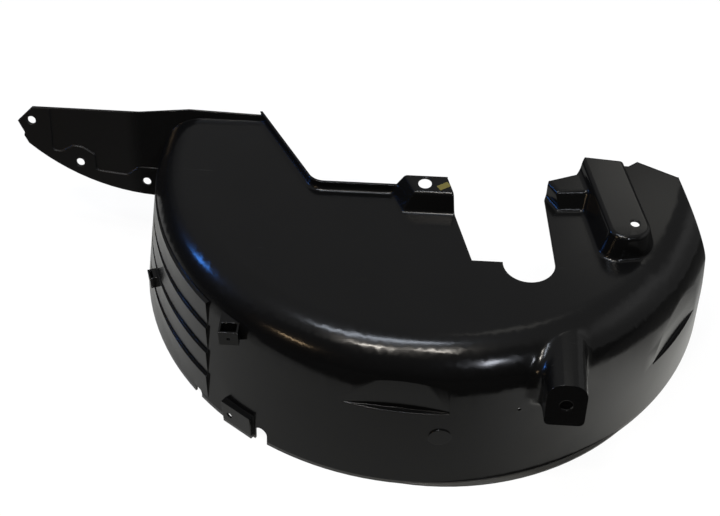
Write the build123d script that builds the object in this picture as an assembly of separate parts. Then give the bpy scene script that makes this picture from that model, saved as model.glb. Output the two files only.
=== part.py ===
from build123d import *
import os
from math import cos, radians, sin, sqrt, tan

# The moulding is drawn about the wheel axis, which is the Z axis: +X towards the rear of the car,
# -Y towards its roof, +Z inboard. The outboard edge lies in z = 0, and the liner rests on it.
# Sizes are in millimetres, angles in degrees, and places about the wheel axis are angles from +X.

# Arch: a leaning cone, closed by the flat inner wall, with a round shoulder between them.
wall = 2.5
arch_radius = 352.0
arch_height = 195.0
arch_draft = 7.4
arch_behind_axis = 2.5
lean_rearward = 3.1
lean_upward = 4.5
shoulder_radius = 50.0
lip_tighter = 49.5
lip_x = 22.0
lip_y = -52.0

# Rear end: the inner wall rises towards it from the channel's tip, and a slanted plane trims the arch.
rise_slope = 11.6
rise_angle = 67.0
rear_trim_margin = 40.5
rear_trim_angle = 12.8
rear_trim_tilt = 16.1

# Ribbed panel on the front of the arch, ahead of a crease.
crease_angle = 227.5
rib_count = 4
rib_pitch = 38.0
rib_first = 48.0
rib_ledge = 3.0

# Flats pressed into the shoulder: angle, depth at the middle, height of the ledge.
flats = [(266.0, 5.6, 121.0), (327.0, 4.0, 84.0)]

# Screw nose on the shoulder.
nose_x = 153.0
nose_stand = 5.0
nose_below_top = 34.0
nose_tilt = 11.0
nose_width = 41.0
nose_height = 53.0
nose_drop = 4.0
nose_flare = 3.0
nose_chin = 20.0
nose_blend = 15.0
nose_hole = 14.0
nose_foot_share = 0.15
nose_crown_share = 0.4

# Free edge of the inner wall, with an upturned flange.
free_edge_y = -94.0
free_corner_x = -125.0
free_corner_round = 20.0
free_edge_slant = 32.0
flange_height = 11.0

# Wing at the front end of the arch: a plate that leans away from the roof side, with a raised border.
wing_y = 20.0
wing_lean = 18.0
wing_length = 165.0
wing_depth = 104.0
wing_rise = 8.0
wing_step = 1.5
wing_hole = 10.5

# Strut notch in the inner wall.
notch_from_wall = 215.0
notch_width = 100.0
notch_floor = -195.0
notch_left_slant = 19.0
notch_right_slant = 8.0
notch_pocket_radius = 28.0

# Fastening tabs on both sides of the notch: corner of the foot, height, heading and draft of each side.
tab_width = 59.0
tab_front = -125.0
tab_height = 25.0
tab_draft = 15.6
tab_side_angle = 205.0
tab_side_draft = 31.6
tab_hole_width = 15.0
tab_hole_length = 18.0
tab_hole_from_notch = 35.0
tab_hole_from_front = 22.0
rear_tab_from_notch = 17.0
rear_tab_front = -112.0
rear_tab_back = -84.0
rear_tab_height = 20.0
rear_tab_angle = 275.0
rear_tab_draft = 28.8

# Raised channel at the rear end of the inner wall.
channel_tip_angle = -38.85
channel_tip_margin = 61.8
channel_end_y = -53.0
channel_angle = -78.5
channel_width = 62.0
channel_height = 30.0
channel_draft = 16.7
channel_tip_draft = 5.0
channel_tip_round = 20.0
channel_hole = 10.0
channel_hole_from_tip = 24.0
channel_hole_aside = 7.0
top_round = 5.0
foot_bend = 5.0

# Joggled pad on the outboard edge.
pad_angle = 236.0
pad_width = 42.0
pad_height = 36.0
pad_stand = 3.0
pad_hole = 8.0

# Clip towers on the arch wall: angle, heading, foot, width, height, stand.
tower_wall = 2.0
tower_hole = 4.0
towers = [(234.3, 270.0, 145.0, 21.0, 20.0, 16.0), (202.0, 202.0, 60.0, 16.0, 16.0, 7.0)]

# Small marks on the arch wall: round emboss, drain hole, and notches in the outboard edge.
emboss_angle = 275.0
emboss_z = 84.0
emboss_diameter = 25.0
emboss_stand = 0.8
drain_angle = 288.5
drain_z = 118.0
drain_diameter = 4.0
edge_notches = [(224.5, 12.0, 10.0), (241.3, 16.0, 22.0)]

# Paper sticker on the strut tab.
sticker_length = 14.0
sticker_width = 8.0
sticker_thickness = 0.2
sticker_angle = 34.0
sticker_from_hole = 21.0
sticker_aside = -4.0

# Heights that differ by less than this count as one.
flush = 0.01

far = arch_radius
spare = 3 * arch_radius
draft_slope = tan(radians(arch_draft))
lean_slope = Vector(tan(radians(lean_rearward)), -tan(radians(lean_upward)), 0)
nose_y = -arch_radius - nose_stand
nose_z = arch_height - nose_below_top
notch_right = arch_radius - notch_from_wall
notch_left = notch_right - notch_width
notch_middle = (notch_left + notch_right) / 2
tab_left = notch_left - tab_width
rear_tab_left = notch_right + rear_tab_from_notch
UP = (Align.CENTER, Align.CENTER, Align.MIN)
DOWN = (Align.CENTER, Align.CENTER, Align.MAX)
OUT = (Align.MIN, Align.CENTER, Align.MIN)


def heading(angle):
    """Unit vector in plan."""
    return Vector(cos(radians(angle)), sin(radians(angle)), 0)


def channel_tip():
    """Middle of the channel's tip, at the foot."""
    return heading(channel_tip_angle) * (arch_radius - channel_tip_margin)


def leaning(angle, draft):
    """Unit vector that heads one way in plan and looks up by the draft."""
    return heading(angle) * cos(radians(draft)) + Vector(0, 0, sin(radians(draft)))


def ahead_of(origin, normal):
    """Everything on one side of a plane, as a large block."""
    return Plane(origin, z_dir=normal) * Box(2 * spare, 2 * spare, 2 * spare, align=UP)


def polygon(*points):
    return make_face(Polyline(*points, close=True))


def radius_at(along):
    """Radius of the arch, by the height of its section's centre."""
    return arch_radius - along * draft_slope


def axis_at(along):
    """Centre of the arch in plan. It leans so that the outboard edge stays about the wheel axis."""
    return lean_slope * (along + arch_radius * draft_slope) + Vector(arch_behind_axis, 0, 0)


def reach(angle, z):
    """Distance from the wheel axis to the arch, in one direction and at one height."""
    lean = heading(angle).dot(lean_slope)
    square = 1 + lean_slope.length**2
    side = sqrt(1 - lean**2 / square)
    drop = lean / (square * side)
    along = (z + arch_radius * drop) / (1 + draft_slope * drop)
    return radius_at(along) * side + axis_at(along).dot(heading(angle))


def at_wall(angle, z):
    """Frame on the arch wall: X outwards, Z up."""
    return Rot(0, 0, angle) * Pos(reach(angle, z), 0, z)


def leaning_cone(low, high, low_radius, high_radius):
    """Cone about the arch's own axis."""
    foot = axis_at(low)
    axis = Plane((foot.X, foot.Y, low), x_dir=(0, 1, 0), z_dir=lean_slope + Vector(0, 0, 1))
    length = (high - low) * sqrt(1 + lean_slope.length**2)
    return axis * Cone(low_radius, high_radius, length, align=UP)


def round_shoulder(body, inset):
    """Round the edge between the leaning cone and the plane on top of it."""
    crest = body.edges().filter_by(GeomType.ELLIPSE).sort_by(Axis.Z)[-1]
    return fillet(crest, shoulder_radius - inset)


def beyond_rear_end():
    """What the slanted plane at the rear end cuts away."""
    normal = leaning(rear_trim_angle, rear_trim_tilt)
    return ahead_of(normal * (arch_radius - rear_trim_margin), normal)


def arch_cone(inset):
    """The front half of the leaning cone, down to the outboard edge."""
    low = -arch_height
    high = 2 * arch_height
    skin = inset / cos(radians(arch_draft))
    cone = leaning_cone(low, high, radius_at(low) - skin, radius_at(high) - skin)
    cone &= Pos(0, 0, -inset) * Box(spare, spare, spare, align=UP)
    return cone & ahead_of((0, wing_y + shoulder_radius, 0), (0, -1, 0))


def arch_form(inset):
    """The arch as a closed body under the flat inner wall, with every face moved inwards by the inset."""
    form = arch_cone(inset) - ahead_of((0, 0, arch_height - inset), (0, 0, 1))
    return round_shoulder(form, inset) - beyond_rear_end()


def risen_form(inset):
    """The rear part of the arch, where the inner wall rises beside the channel."""
    start = channel_tip() + Vector(0, 0, arch_height)
    uphill = leaning(rise_angle + 180, 90 - rise_slope)
    side = heading(channel_angle + 90)
    form = round_shoulder(arch_cone(inset) - ahead_of(start - uphill * inset, uphill), inset)
    return (form & ahead_of(start + side * inset, side)) - beyond_rear_end()


def rib_bands(inset):
    """Bands that step outwards like weatherboards ahead of the crease, and fade towards the wing."""
    normal = heading(crease_angle - 90)
    steep = draft_slope - rib_ledge / rib_pitch
    fade = normal * rib_ledge
    bands = Part()
    for i in range(rib_count):
        base = rib_first + (i - 1) * rib_pitch
        low = radius_at(base) + arch_height * steep - inset
        high = radius_at(base) - arch_height * steep - inset
        band = leaning_cone(base - arch_height, base + arch_height, low, high)
        band = Pos(-fade.X, -fade.Y) * band
        bands += band & Pos(0, 0, base - inset) * Box(spare, spare, rib_pitch, align=UP)
    return bands & ahead_of(normal * inset, normal)


def shoulder_flat(angle, depth, ledge, inset):
    """The block that presses one flat into the arch above a ledge, a little wider than its chord."""
    face = reach(angle, ledge) - depth - inset
    chord = 2 * sqrt(2 * arch_radius * (depth + inset))
    return Rot(0, 0, angle) * Pos(face, 0, ledge - inset) * Box(far, chord, spare, align=OUT)


def nose_face():
    """Plane of the nose's end face, with X along it and Z out of it."""
    return Plane((nose_x, nose_y, nose_z), x_dir=(1, 0, 0), z_dir=leaning(270, nose_tilt))


def nose_outline(width, top, bottom):
    """Rounded end of the nose: a flat foot and a wide round top."""
    points = [(-width / 2, bottom), (width / 2, bottom), (width / 2, top), (-width / 2, top)]
    foot = width * nose_foot_share
    crown = width * nose_crown_share
    return make_face(FilletPolyline(*points, radius=[foot, foot, crown, crown], close=True))


def screw_nose(inset):
    """The nose that stands out of the shoulder, with a sloping chin under it."""
    root_y = -sqrt((arch_radius - shoulder_radius) ** 2 - nose_x**2)
    root = Plane((nose_x, root_y, nose_z), x_dir=(1, 0, 0), z_dir=(0, -1, 0))
    half = nose_height / 2
    end = nose_face().offset(-inset) * nose_outline(nose_width - 2 * inset, half - inset, inset - half)
    root_top = arch_height - nose_z - nose_drop - inset
    root_low = inset - half - nose_chin
    start = root * nose_outline(nose_width + 2 * (nose_flare - inset), root_top, root_low)
    return loft([start, end])


def edge_pad(inset):
    """Flat pad on the outboard edge."""
    block = Box(pad_width, pad_width - 2 * inset, pad_height, align=(Align.MAX, Align.CENTER, Align.MIN))
    return at_wall(pad_angle, 0) * Pos(pad_stand - inset, 0, -inset) * block


def raised(height, sides, inset):
    """A block on the inner wall. Each side leans: a point of its foot, its heading and its draft."""
    block = Box(spare, spare, height + shoulder_radius / 4, align=DOWN)
    block = Pos(0, 0, arch_height + height - inset) * block
    for x, y, angle, draft in sides:
        normal = leaning(angle, draft)
        block -= ahead_of(Vector(x, y, arch_height) - normal * inset, normal)
    return block


def rounded_top(block, inset):
    return fillet(block.faces().sort_by(Axis.Z)[-1].edges(), top_round - inset)


def strut_tab(inset):
    back = free_edge_y + 3 * flange_height
    sides = [
        (tab_left, tab_front, 270, tab_draft), (tab_left, tab_front, tab_side_angle, tab_side_draft),
        (notch_middle, back, 0, 0), (notch_middle, back, 90, 0),
    ]
    return rounded_top(raised(tab_height, sides, inset), inset)


def rear_tab(inset):
    inside_channel = channel_tip().X - channel_width / 2
    sides = [
        (rear_tab_left, rear_tab_front, rear_tab_angle, rear_tab_draft), (notch_right, rear_tab_back, 210, 0),
        (inside_channel, channel_end_y, 0, 0), (inside_channel, channel_end_y, 90, 0),
    ]
    return rounded_top(raised(rear_tab_height, sides, inset), inset)


def channel(inset):
    along = heading(channel_angle)
    half = heading(channel_angle + 90) * channel_width / 2
    tip = channel_tip()
    right = tip + half
    left = tip - half
    end = tip - along * 3 * channel_width
    sides = [
        (tip.X, tip.Y, channel_angle, channel_tip_draft), (end.X, end.Y, channel_angle + 180, 0),
        (right.X, right.Y, channel_angle + 90, channel_draft),
        (left.X, left.Y, channel_angle - 90, channel_draft),
    ]
    block = raised(channel_height, sides, inset)
    upright = block.edges().filter_by(lambda edge: abs((edge % 0.5).Z) > 0.5)
    corners = upright.sort_by(lambda edge: edge.center().dot(along))[-2:]
    return rounded_top(fillet(corners, channel_tip_round - inset), inset)


def blended(form, block, radius):
    """Join a block to the form, with a round bend all along their meeting line."""
    both = form + block
    return fillet(new_edges(form, block, combined=both), radius)


def seated(form, block, inset):
    """Join a block to the inner wall, with a round bend along its foot."""
    both = form + block
    level = arch_height - inset
    foot = new_edges(form, block, combined=both).filter_by_position(Axis.Z, level - flush, level + flush)
    return fillet(foot, foot_bend + inset)


def moulded_form(inset):
    """The outside of the moulding as a closed body, with every face moved inwards by the inset."""
    form = blended(arch_form(inset), screw_nose(inset), nose_blend + inset)
    form = seated(form, strut_tab(inset), inset)
    form = seated(form, channel(inset), inset).fuse(risen_form(inset), tol=flush)
    form = seated(form, rear_tab(inset), inset)
    form = form + rib_bands(inset) + edge_pad(inset)
    for angle, depth, ledge in flats:
        form -= shoulder_flat(angle, depth, ledge, inset)
    return form


inner = moulded_form(wall)
liner = moulded_form(0) - inner

# Outboard lip: a crescent under the roof end of the arch.
lip = Pos(lip_x, lip_y) * Cylinder(arch_radius - lip_tighter, wall, align=UP)
lip -= Cylinder(arch_radius - wall, wall, align=UP)
last_notch = edge_notches[-1][0]
liner += (lip & ahead_of((0, 0, 0), heading(last_notch + 95))) - beyond_rear_end()

# Free edge of the inner wall: a slanted run, a straight run, and the flange along both with a round bend.
slant = radians(free_edge_slant)
corner = Vector(free_corner_x, free_edge_y)
slant_end = corner + Vector(-sin(slant), cos(slant)) * far
outline = [slant_end, corner, (notch_middle, free_edge_y), (notch_middle, free_edge_y + far)]
behind = make_face(FilletPolyline(*outline, radius=[1, free_corner_round, 1, 1], close=True))
back_step = Pos(wall * (1 - sin(slant)) / cos(slant), wall)
beyond = Pos(0, 0, -wall) * back_step * extrude(behind, spare)
flange = Pos(0, 0, arch_height - wall) * extrude(behind, flange_height + wall) - beyond
plate = liner - beyond
upright = flange - inner
liner = plate + upright
bend = new_edges(plate, upright, combined=liner)
bend = bend.filter_by_position(Axis.Z, arch_height - flush, arch_height + flush)
liner = fillet(bend, foot_bend)

# Rear edge of the inner wall: behind the rear tab, across the channel, and down to the trimmed arch.
channel_left = channel_tip().X - 0.73 * channel_width
channel_right = channel_left + 0.8 * channel_width
rise_end = (channel_right + channel_width * 0.85, channel_end_y - 21)
rear_edge = polygon(
    (notch_middle, rear_tab_back), (notch_right + 5, rear_tab_back), (channel_left - 9, rear_tab_back + 12),
    (channel_left, channel_end_y), (channel_right, channel_end_y - 5),
    (channel_right + 10, channel_end_y + 1), rise_end,
    (spare, channel_end_y - 21), (spare, far), (notch_middle, far),
)
liner -= Pos(0, 0, arch_height - shoulder_radius) * extrude(rear_edge, spare)

# Strut notch: slanted sides, a floor and a round pocket.
notch = polygon(
    (notch_left - 10, far), (notch_left - 10, free_edge_y), (notch_left, tab_front - wall),
    (notch_left + notch_left_slant, notch_floor), (notch_right + notch_right_slant, notch_floor),
    (notch_right, free_edge_y), (notch_right + 10, rear_tab_back + 22), (notch_right + 10, far),
)
pocket_x = notch_right + notch_right_slant - notch_pocket_radius
notch += Pos(pocket_x, notch_floor) * Circle(notch_pocket_radius)
liner -= Pos(0, 0, arch_height - shoulder_radius) * extrude(notch, spare)

# Wing: its front face lies in a leaning plane through the inner wall's far edge.
wing_plane = Plane((0, wing_y, arch_height), x_dir=(1, 0, 0), z_dir=leaning(270, wing_lean))
liner -= ahead_of(wing_plane.origin - wing_plane.z_dir * wall, wing_plane.z_dir * -1)
root = -reach(180, arch_height - wing_depth)
tip = root - wing_length
end_x = free_corner_x - (wing_y - free_edge_y) * tan(slant)
crest = wing_rise + 3
upper = Polyline((end_x, wing_rise), (root + 47, crest), (root - 15, crest - 6), (tip + 19, crest - 5))
nose = Polyline(upper @ 1, (tip, -12), (tip + 7, -27), (tip + 6, -31), (tip + 11, -41))
lower = ThreePointArc(nose @ 1, (root - 80, -86), (root, -wing_depth))
inside = Polyline(lower @ 1, (root + 40, -wing_depth), (root + 40, -4 * wall), (end_x, -4 * wall), upper @ 0)
wing_face = make_face(upper + nose + lower + inside)
step_line = FilletPolyline(
    (tip + 41, 20), (tip + 40, -50), (tip + 51, -50), (tip + 66, -42), (tip + 78, -44), (tip + 92, -53),
    (tip + 93, -74), (tip + 131, -78), (tip + 146, -67), (root + 40, -69), radius=5,
)
border = Polyline(step_line @ 1, (root + 40, -150), (tip - 20, -150), (tip - 20, 20), step_line @ 0)
raised_border = make_face(step_line + border) & wing_face
wing = extrude(wing_plane * wing_face, -wall) + extrude(wing_plane * raised_border, wing_step)
for x, y in [(tip + 17, -11), (tip + 73, -64), (root - 10, -86)]:
    wing -= wing_plane * Pos(x, y) * Cylinder(wing_hole / 2, 20 * wall)
liner += wing - inner

# Clip towers: small hollow boxes, open inboard, with a hole in the outer face.
for angle, facing, foot, width, height, stand in towers:
    box = Pos(-stand, 0, 0) * Box(2 * stand, width, height, align=OUT)
    core = width - 2 * tower_wall
    hollow = Pos(tower_wall, 0, tower_wall) * Box(stand - 2 * tower_wall, core, height, align=OUT)
    hole = Pos(stand, 0, height / 2) * Rot(0, 90, 0) * Cylinder(tower_hole / 2, 4 * tower_wall)
    tower = at_wall(angle, foot) * Rot(0, 0, facing - angle) * (box - hollow - hole)
    liner += tower - inner

# Round emboss, drain hole, and notches in the outboard edge.
emboss = at_wall(emboss_angle, emboss_z) * Pos(emboss_stand, 0, 0) * Rot(0, 90, 0)
liner += emboss * Cylinder(emboss_diameter / 2, 2 * wall, align=DOWN) - inner
liner -= at_wall(drain_angle, drain_z) * Rot(0, 90, 0) * Cylinder(drain_diameter / 2, 8 * wall)
for angle, width, height in edge_notches:
    round_z = height - width / 2
    liner -= at_wall(angle, 0) * Box(16 * wall, width, 2 * round_z)
    liner -= at_wall(angle, round_z) * Rot(0, 90, 0) * Cylinder(width / 2, 16 * wall)

# Screw and clip holes.
pad_place = at_wall(pad_angle, pad_height / 2) * Pos(0, -pad_width / 4, 0)
liner -= pad_place * Rot(0, 90, 0) * Cylinder(pad_hole / 2, 8 * wall)
liner -= nose_face() * Cylinder(nose_hole / 2, 8 * wall)
tab_x = notch_left - tab_hole_from_notch
tab_place = Pos(tab_x, tab_front + tab_hole_from_front, arch_height + tab_height)
slot = Rot(0, 0, 90) * SlotOverall(tab_hole_length, tab_hole_width)
liner -= tab_place * extrude(slot, 4 * wall, both=True)
channel_place = Pos(channel_tip()) * Pos(0, 0, arch_height + channel_height) * Rot(0, 0, channel_angle)
channel_place *= Pos(-channel_hole_from_tip, channel_hole_aside)
liner -= channel_place * Cylinder(channel_hole / 2, 8 * wall)

# Sticker beside the hole of the strut tab.
sticker_place = tab_place * Pos(sticker_from_hole, sticker_aside) * Rot(0, 0, sticker_angle)
sticker = sticker_place * Box(sticker_length, sticker_width, sticker_thickness, align=UP)

# The frame's origin is under the middle of the liner, on the plane that it rests on.
bounds = liner.bounding_box()
to_origin = Pos(-bounds.center().X, -bounds.center().Y, -bounds.min.Z)

os.makedirs("parts", exist_ok=True)
export_step(to_origin * liner, "parts/arch_liner.step")
export_step(to_origin * sticker, "parts/inspection_sticker.step")
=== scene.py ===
import math

import bmesh
import bpy
from mathutils import Matrix, Vector


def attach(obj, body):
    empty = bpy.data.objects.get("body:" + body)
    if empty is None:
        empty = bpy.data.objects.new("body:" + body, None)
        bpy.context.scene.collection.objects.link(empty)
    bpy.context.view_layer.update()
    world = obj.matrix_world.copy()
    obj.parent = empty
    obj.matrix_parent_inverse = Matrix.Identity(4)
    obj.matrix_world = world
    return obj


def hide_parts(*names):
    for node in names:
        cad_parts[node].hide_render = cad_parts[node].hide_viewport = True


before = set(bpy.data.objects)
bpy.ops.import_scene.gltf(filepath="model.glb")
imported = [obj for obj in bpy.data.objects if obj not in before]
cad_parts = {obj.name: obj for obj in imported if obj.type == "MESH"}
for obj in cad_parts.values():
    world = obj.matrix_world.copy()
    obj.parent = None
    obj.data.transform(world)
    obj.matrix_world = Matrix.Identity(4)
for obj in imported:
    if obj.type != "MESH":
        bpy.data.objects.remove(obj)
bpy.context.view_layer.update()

# Arch liner: the one-piece lining of a car's wheel arch, moulded in black polypropylene 2.5 mm thick.
# It comes out of a polished tool with one leaning wall, a rounded shoulder and a flat inner wall.
# Clips and screws through its wing, nose, strut tab, channel and edge pad hold it to the car body.
mm = 0.001


def srgb(hex_code):
    """Turns an sRGB hex colour into the linear colour that a shader wants."""
    parts = [int(hex_code[i : i + 2], 16) / 255 for i in (1, 3, 5)]
    return [p / 12.92 if p <= 0.04045 else ((p + 0.055) / 1.055) ** 2.4 for p in parts] + [1]


def add_node(tree, kind, inputs, **settings):
    """Adds one node with its settings, and gives each named input a value or a link."""
    node = tree.nodes.new(kind)
    for name, value in settings.items():
        setattr(node, name, value)
    for name, value in inputs.items():
        if isinstance(value, bpy.types.NodeSocket):
            tree.links.new(value, node.inputs[name])
        else:
            node.inputs[name].default_value = value
    return node


# Black polypropylene, injection moulded: near-black in its depth, with a satin gloss that mirrors
# lamps as soft streaks and pale floors as a grey veil. Its skin undulates a little where it cooled.
polypropylene = bpy.data.materials.new("moulded_black_polypropylene")
polypropylene.use_nodes = True
tree = polypropylene.node_tree
tree.nodes.clear()
place = add_node(tree, "ShaderNodeTexCoord", {}).outputs["Object"]

# The moulded grain is about 0.3 mm wide, too fine for one pixel, so it is drawn at 1.8 mm.
grain_width = 1.8 * mm
grain = add_node(tree, "ShaderNodeTexNoise", {"Vector": place, "Scale": 1 / grain_width, "Detail": 2})
wave_width = 85 * mm
waves = add_node(tree, "ShaderNodeTexNoise", {"Vector": place, "Scale": 1 / wave_width, "Detail": 1})

# Handling leaves hairline scratches about 40 mm long, in a few patches only. A hairline is too fine
# for one pixel, so it is drawn up to about 1 mm wide.
scratch_length = 40 * mm
scratch_width = 1.1 * mm
scratch_height = 9 * mm
scratch_slant = (0.3, 0.2, 1.15)
scratch_turn = add_node(
    tree,
    "ShaderNodeMapping",
    {
        "Vector": place,
        "Rotation": scratch_slant,
        "Scale": (1 / scratch_length, 1 / scratch_width, 1 / scratch_height),
    },
)
scratch_lines = add_node(
    tree, "ShaderNodeTexNoise", {"Vector": scratch_turn.outputs["Vector"], "Scale": 1, "Detail": 1}
)
faint_line = 0.74
full_line = 0.82
thin_lines = add_node(
    tree,
    "ShaderNodeMapRange",
    {"Value": scratch_lines.outputs["Fac"], "From Min": faint_line, "From Max": full_line},
)
patch_width = 60 * mm
patch_rim = 0.6
patch_core = 0.72
patches = add_node(
    tree,
    "ShaderNodeTexNoise",
    {"Vector": place, "Scale": 1 / patch_width, "Detail": 2, "Roughness": 0.6},
)
few_patches = add_node(
    tree,
    "ShaderNodeMapRange",
    {"Value": patches.outputs["Fac"], "From Min": patch_rim, "From Max": patch_core},
)
scratches = add_node(
    tree,
    "ShaderNodeMath",
    {0: thin_lines.outputs["Result"], 1: few_patches.outputs["Result"]},
    operation="MULTIPLY",
)

# A Mix node's two colours are its inputs 6 and 7.
depth_colour = add_node(
    tree,
    "ShaderNodeMix",
    {"Factor": waves.outputs["Fac"], 6: srgb("#070707"), 7: srgb("#0b0b0b")},
    data_type="RGBA",
)
skin_colour = add_node(
    tree,
    "ShaderNodeMix",
    {"Factor": scratches.outputs["Value"], 6: depth_colour.outputs[2], 7: srgb("#2e2f2d")},
    data_type="RGBA",
)

# Along the outboard edge's lowest 4.2 mm the colour is painted paler: a painted highlight, standing in
# for the pale line that the bend at the bottom edge catches from the floor.
spot = add_node(tree, "ShaderNodeSeparateXYZ", {"Vector": place})
painted_highlight_height = 4.2 * mm
painted_highlight_fade = 1 * mm
above_painted_highlight = add_node(
    tree,
    "ShaderNodeMapRange",
    {"Value": spot.outputs["Z"], "From Min": painted_highlight_height, "From Max": painted_highlight_height + painted_highlight_fade},
)
# Painted highlight: the pale #424240 below that height.
colour_with_painted_highlight = add_node(
    tree,
    "ShaderNodeMix",
    {"Factor": above_painted_highlight.outputs["Result"], 6: srgb("#424240"), 7: skin_colour.outputs[2]},
    data_type="RGBA",
)

# The arch comes off the tool with a satin gloss, and the wing in front of it is duller.
wing_root = -270 * mm
wing_fade = 20 * mm
wing_roughness = 0.42
arch_roughness = 0.17
grain_roughness = 0.02
scratch_roughness = 0.15
satin = add_node(
    tree,
    "ShaderNodeMapRange",
    {
        "Value": spot.outputs["X"],
        "From Min": wing_root - wing_fade,
        "From Max": wing_root,
        "To Min": wing_roughness,
        "To Max": arch_roughness,
    },
)
grained_satin = add_node(
    tree,
    "ShaderNodeMath",
    {0: grain.outputs["Fac"], 1: grain_roughness, 2: satin.outputs["Result"]},
    operation="MULTIPLY_ADD",
)
worn_satin = add_node(
    tree,
    "ShaderNodeMath",
    {0: scratches.outputs["Value"], 1: scratch_roughness, 2: grained_satin.outputs["Value"]},
    operation="MULTIPLY_ADD",
)

# Every moulded edge and bend has a small radius, which catches the light as a thin line.
inner_wall = 190 * mm
wall_fade = 5 * mm
edge_radius = 0.8 * mm
wall_bend_radius = 2.2 * mm
wing_bend_radius = 3 * mm
wall_bends = add_node(
    tree,
    "ShaderNodeMapRange",
    {
        "Value": spot.outputs["Z"],
        "From Min": inner_wall - wall_fade,
        "From Max": inner_wall,
        "To Min": edge_radius,
        "To Max": wall_bend_radius,
    },
)
wing_bends = add_node(
    tree,
    "ShaderNodeMapRange",
    {
        "Value": spot.outputs["X"],
        "From Min": wing_root - wing_fade,
        "From Max": wing_root,
        "To Min": wing_bend_radius,
        "To Max": 0,
    },
)
bend_radius = add_node(
    tree,
    "ShaderNodeMath",
    {0: wall_bends.outputs["Result"], 1: wing_bends.outputs["Result"]},
    operation="MAXIMUM",
)
bends = add_node(tree, "ShaderNodeBevel", {"Radius": bend_radius.outputs["Value"]}, samples=8)
wave_height = 0.25 * mm
wavy_skin = add_node(
    tree,
    "ShaderNodeBump",
    {
        "Height": waves.outputs["Fac"],
        "Strength": 1,
        "Distance": wave_height,
        "Normal": bends.outputs["Normal"],
    },
)
grain_height = 0.03 * mm
grained_skin = add_node(
    tree,
    "ShaderNodeBump",
    {
        "Height": grain.outputs["Fac"],
        "Strength": 0.08,
        "Distance": grain_height,
        "Normal": wavy_skin.outputs["Normal"],
    },
)
surface = add_node(
    tree,
    "ShaderNodeBsdfPrincipled",
    {
        "Base Color": colour_with_painted_highlight.outputs[2],
        "Roughness": worn_satin.outputs["Value"],
        "IOR": 1.49,
        "Specular IOR Level": 0.2,
        "Normal": grained_skin.outputs["Normal"],
    },
)
add_node(tree, "ShaderNodeOutputMaterial", {"Surface": surface.outputs["BSDF"]})

# The moulding itself: its faces flow into one another, and only true edges stay sharp.
edge_angle = math.radians(24)
merge_distance = 0.001 * mm
shell = bmesh.new()
shell.from_mesh(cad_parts["arch_liner"].data)
bmesh.ops.remove_doubles(shell, verts=shell.verts, dist=merge_distance)
for face in shell.faces:
    face.smooth = True
    face.material_index = 0
for edge in shell.edges:
    edge.smooth = edge.calc_face_angle(0) < edge_angle
liner_mesh = bpy.data.meshes.new("moulded_liner")
shell.to_mesh(liner_mesh)
shell.free()
liner_mesh.materials.append(polypropylene)
liner = bpy.data.objects.new("moulded_liner", liner_mesh)
bpy.context.scene.collection.objects.link(liner)
flow = liner.modifiers.new("even_reflections", "WEIGHTED_NORMAL")
flow.keep_sharp = True
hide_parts("arch_liner")
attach(liner, "root")

# Inspection sticker: a small bare label of gold paper, pressed on by hand beside the strut tab's slot
# when the moulding was passed. Its own glue holds it.

# Uncoated gold paper: its fibres scatter the light, so it looks a dull and slightly uneven gold.
paper = bpy.data.materials.new("gold_sticker_paper")
paper.use_nodes = True
tree = paper.node_tree
tree.nodes.clear()
place = add_node(tree, "ShaderNodeTexCoord", {}).outputs["Object"]
fibre_length = 1.5 * mm
fibre_height = 0.05 * mm
fibres = add_node(tree, "ShaderNodeTexNoise", {"Vector": place, "Scale": 1 / fibre_length, "Detail": 3})
paper_colour = add_node(
    tree,
    "ShaderNodeMix",
    {"Factor": fibres.outputs["Fac"], 6: srgb("#4d4720"), 7: srgb("#68602c")},
    data_type="RGBA",
)
paper_skin = add_node(
    tree,
    "ShaderNodeBump",
    {"Height": fibres.outputs["Fac"], "Strength": 0.3, "Distance": fibre_height},
)
paper_surface = add_node(
    tree,
    "ShaderNodeBsdfPrincipled",
    {
        "Base Color": paper_colour.outputs[2],
        "Roughness": 0.6,
        "Specular IOR Level": 0.25,
        "Normal": paper_skin.outputs["Normal"],
    },
)
add_node(tree, "ShaderNodeOutputMaterial", {"Surface": paper_surface.outputs["BSDF"]})
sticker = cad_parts["inspection_sticker"]
for material_slot in sticker.material_slots:
    material_slot.material = paper

# Studio floor: a sheet of white paper under the liner, which the camera sees as plain white.
# In the liner's gloss its colour carries painted light: painted shade on the left, a painted pool of
# light right of the nose and painted grey shade beyond it.
# It lies loose and ends a hand's breadth in front of the liner, on a dark workshop floor.
white_paper = bpy.data.materials.new("white_paper_floor")
white_paper.use_nodes = True
tree = white_paper.node_tree
tree.nodes.clear()
place = add_node(tree, "ShaderNodeTexCoord", {}).outputs["Object"]
spot = add_node(tree, "ShaderNodeSeparateXYZ", {"Vector": place})
paper_front = -300 * mm
paper_left = -700 * mm
soft_edge = 50 * mm
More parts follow.
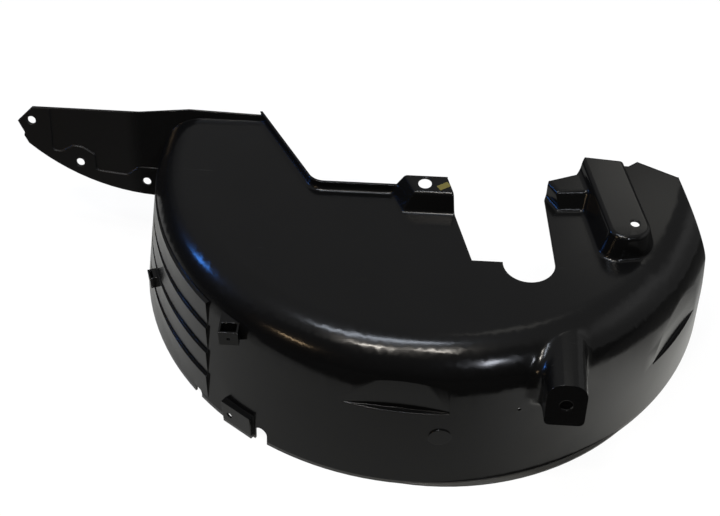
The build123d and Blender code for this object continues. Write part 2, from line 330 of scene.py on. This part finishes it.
# The paper tones below are painted light and shade: painted shade up to 120 mm, a painted pool of light
# from 370 mm, and painted grey shade beyond 520 mm.
shade_end = 120 * mm
pool_start = 370 * mm
pool_end = 520 * mm
shade_tone = 0.4
pool_tone = 0.85
painted_far_shade_tone = 0.08
dark_floor_tone = 0.04
into_pool = add_node(
    tree,
    "ShaderNodeMapRange",
    {
        "Value": spot.outputs["X"],
        "From Min": shade_end,
        "From Max": pool_start,
        "To Min": shade_tone,
        "To Max": pool_tone,
    },
    interpolation_type="SMOOTHSTEP",
)
out_of_pool = add_node(
    tree,
    "ShaderNodeMapRange",
    {
        "Value": spot.outputs["X"],
        "From Min": pool_start,
        "From Max": pool_end,
        "To Min": pool_tone,
        "To Max": painted_far_shade_tone,
    },
    interpolation_type="SMOOTHSTEP",
)
painted_light_on_paper = add_node(
    tree,
    "ShaderNodeMath",
    {0: into_pool.outputs["Result"], 1: out_of_pool.outputs["Result"]},
    operation="MINIMUM",
)
behind_front = add_node(
    tree,
    "ShaderNodeMapRange",
    {"Value": spot.outputs["Y"], "From Min": paper_front - soft_edge, "From Max": paper_front},
)
right_of_edge = add_node(
    tree,
    "ShaderNodeMapRange",
    {"Value": spot.outputs["X"], "From Min": paper_left - soft_edge, "From Max": paper_left},
)
on_paper = add_node(
    tree,
    "ShaderNodeMath",
    {0: behind_front.outputs["Result"], 1: right_of_edge.outputs["Result"]},
    operation="MULTIPLY",
)
floor_tone_with_painted_light = add_node(
    tree,
    "ShaderNodeMath",
    {0: on_paper.outputs["Value"], 1: painted_light_on_paper.outputs["Value"], 2: dark_floor_tone},
    operation="MULTIPLY_ADD",
)
floor_colour_with_painted_light = add_node(
    tree,
    "ShaderNodeMix",
    {"Factor": floor_tone_with_painted_light.outputs["Value"], 6: srgb("#000000"), 7: srgb("#fffffa")},
    data_type="RGBA",
)
rays = add_node(tree, "ShaderNodeLightPath", {})
seen_colour = add_node(
    tree,
    "ShaderNodeMix",
    {"Factor": rays.outputs["Is Camera Ray"], 6: floor_colour_with_painted_light.outputs[2], 7: srgb("#ffffff")},
    data_type="RGBA",
)
camera_share = 0.93
gloss_share = 0.7
seen_in_gloss = add_node(
    tree,
    "ShaderNodeMath",
    {0: rays.outputs["Is Glossy Ray"], 1: rays.outputs["Is Transmission Ray"]},
    operation="MAXIMUM",
)
plain_in_gloss = add_node(
    tree,
    "ShaderNodeMath",
    {0: seen_in_gloss.outputs["Value"], 1: gloss_share},
    operation="MULTIPLY",
)
plain_share = add_node(
    tree,
    "ShaderNodeMath",
    {0: rays.outputs["Is Camera Ray"], 1: camera_share, 2: plain_in_gloss.outputs["Value"]},
    operation="MULTIPLY_ADD",
)
matt_paper = add_node(tree, "ShaderNodeBsdfDiffuse", {"Color": seen_colour.outputs[2]})
plain_paper = add_node(tree, "ShaderNodeEmission", {"Color": seen_colour.outputs[2], "Strength": 1})
floor_mix = add_node(
    tree,
    "ShaderNodeMixShader",
    {0: plain_share.outputs["Value"], 1: matt_paper.outputs["BSDF"], 2: plain_paper.outputs["Emission"]},
)
add_node(tree, "ShaderNodeOutputMaterial", {"Surface": floor_mix.outputs["Shader"]})
floor_half = 15
floor_drop = 0.2 * mm
sheet = bmesh.new()
bmesh.ops.create_grid(sheet, x_segments=1, y_segments=1, size=floor_half)
bmesh.ops.translate(sheet, verts=sheet.verts, vec=(0, 0, -floor_drop))
sheet_mesh = bpy.data.meshes.new("paper_floor")
sheet.to_mesh(sheet_mesh)
sheet.free()
sheet_mesh.materials.append(white_paper)
paper_floor = bpy.data.objects.new("paper_floor", sheet_mesh)
bpy.context.scene.collection.objects.link(paper_floor)

# Room: a dim workshop with a grey ceiling, darker towards the horizon and the front, and lighter on the
# right, where its windows are. The level inner wall mirrors the ceiling behind it as an even grey.
# Ways are parts of a unit vector, so a Z of 1 is straight up and an X of 1 is level, to the right.
room = bpy.data.worlds.new("dim_room")
bpy.context.scene.world = room
room.use_nodes = True
tree = room.node_tree
tree.nodes.clear()
heading = add_node(tree, "ShaderNodeTexCoord", {}).outputs["Generated"]
way = add_node(tree, "ShaderNodeSeparateXYZ", {"Vector": heading})
horizon_end = 0.1
ceiling_start = 0.7
horizon_tone = 0.03
ceiling_tone = 0.45
ceiling = add_node(
    tree,
    "ShaderNodeMapRange",
    {
        "Value": way.outputs["Z"],
        "From Min": horizon_end,
        "From Max": ceiling_start,
        "To Min": horizon_tone,
        "To Max": ceiling_tone,
    },
    interpolation_type="SMOOTHSTEP",
)
right_start = 0.55
right_full = 0.75
right_side = add_node(
    tree,
    "ShaderNodeMapRange",
    {"Value": way.outputs["X"], "From Min": right_start, "From Max": right_full},
    interpolation_type="SMOOTHSTEP",
)
window_sill = 0.35
window_middle = 0.6
sill_tone = 0.4
window_tone = 0.75
window_light = add_node(
    tree,
    "ShaderNodeMapRange",
    {
        "Value": way.outputs["Z"],
        "From Min": window_sill,
        "From Max": window_middle,
        "To Min": sill_tone,
        "To Max": window_tone,
    },
    interpolation_type="SMOOTHSTEP",
)
windows = add_node(
    tree,
    "ShaderNodeMath",
    {0: right_side.outputs["Result"], 1: window_light.outputs["Result"]},
    operation="MULTIPLY",
)
front_dark = -0.45
front_share = 0.15
front = add_node(
    tree,
    "ShaderNodeMapRange",
    {
        "Value": way.outputs["Y"],
        "From Min": front_dark,
        "From Max": 0,
        "To Min": front_share,
        "To Max": 1,
    },
    interpolation_type="SMOOTHSTEP",
)
room_light = add_node(
    tree,
    "ShaderNodeMath",
    {0: ceiling.outputs["Result"], 1: front.outputs["Result"], 2: windows.outputs["Value"]},
    operation="MULTIPLY_ADD",
)
room_surface = add_node(
    tree,
    "ShaderNodeBackground",
    {"Color": srgb("#ffffff"), "Strength": room_light.outputs["Value"]},
)
add_node(tree, "ShaderNodeOutputWorld", {"Surface": room_surface.outputs["Background"]})

# Lamps: a long cool strip and two warm ones overhead, a lamp far off on the right, two panels behind,
# and on the left a blue window and a warm lamp, both low. Each row gives the lamp's place, the point that
# it faces, the heading of its first side in degrees, both sides, its power in watts and its colour.
lamps = [
    ("cool_strip", (-0.46, -0.18, 3), (-0.46, -0.18, 0), 17, (1.5, 0.12), 35, "#e8f1ff"),
    ("warm_strip_left", (-0.62, -1.13, 3), (0, -0.1, 0.2), 11, (0.4, 0.16), 36, "#fff8ee"),
    ("warm_strip_right", (0.19, -0.85, 3), (0.1, -0.1, 0.2), 4, (0.34, 0.16), 22, "#fff8ee"),
    ("far_lamp", (1.68, -3.15, 3), (0.15, -0.15, 0.2), -88, (0.5, 0.2), 44, "#eef3ff"),
    ("rear_softbox", (0.95, 1.9, 1.75), (0.25, 0.05, 0.2), -20, (0.7, 0.6), 2, "#fffdf4"),
    ("rear_panel", (0.62, 1.33, 3), (0.3, 0.05, 0.2), -25, (0.5, 0.4), 1.2, "#fffdf4"),
    ("left_window", (-3.2, 0.38, 1.62), (-0.15, -0.05, 0.18), 90, (0.24, 0.6), 28, "#4a93ff"),
    ("left_lamp", (-2.2, -2.0, 1.3), (-0.05, -0.14, 0.18), -45, (0.5, 0.12), 11, "#ffdcae"),
]
for name, stand, aim, first_side, size, power, colour in lamps:
    light = bpy.data.lights.new(name, "AREA")
    light.shape = "RECTANGLE"
    light.size = size[0]
    light.size_y = size[1]
    light.energy = power
    light.color = srgb(colour)[:3]
    lamp = bpy.data.objects.new(name, light)
    behind = (Vector(stand) - Vector(aim)).normalized()
    level = Vector((math.cos(math.radians(first_side)), math.sin(math.radians(first_side)), 0))
    across = (level - behind * level.dot(behind)).normalized()
    turned = Matrix((across, behind.cross(across), behind)).transposed().to_4x4()
    lamp.matrix_world = Matrix.Translation(stand) @ turned
    bpy.context.scene.collection.objects.link(lamp)

# Camera: a plain lens of 60 mm on a full frame, above the liner's roof side and looking down on it.
# It stands 46 degrees up and 4 degrees round to the right, as the photograph's did. All of it is sharp.
azimuth = math.radians(4)
elevation = math.radians(46)
distance = 1560 * mm
looked_at = Vector((-2.1, 155.9, 0)) * mm
backwards = Vector(
    (
        math.sin(azimuth) * math.cos(elevation),
        -math.cos(azimuth) * math.cos(elevation),
        math.sin(elevation),
    )
)
view = bpy.data.cameras.new("photo_view")
view.lens = 60
view.sensor_width = 36
view.sensor_fit = "HORIZONTAL"
camera = bpy.data.objects.new("photo_view", view)
turned = backwards.to_track_quat("Z", "Y").to_matrix().to_4x4()
camera.matrix_world = Matrix.Translation(looked_at + backwards * distance) @ turned
bpy.context.scene.collection.objects.link(camera)
bpy.context.scene.camera = camera
bpy.context.scene.view_settings.view_transform = "Standard"
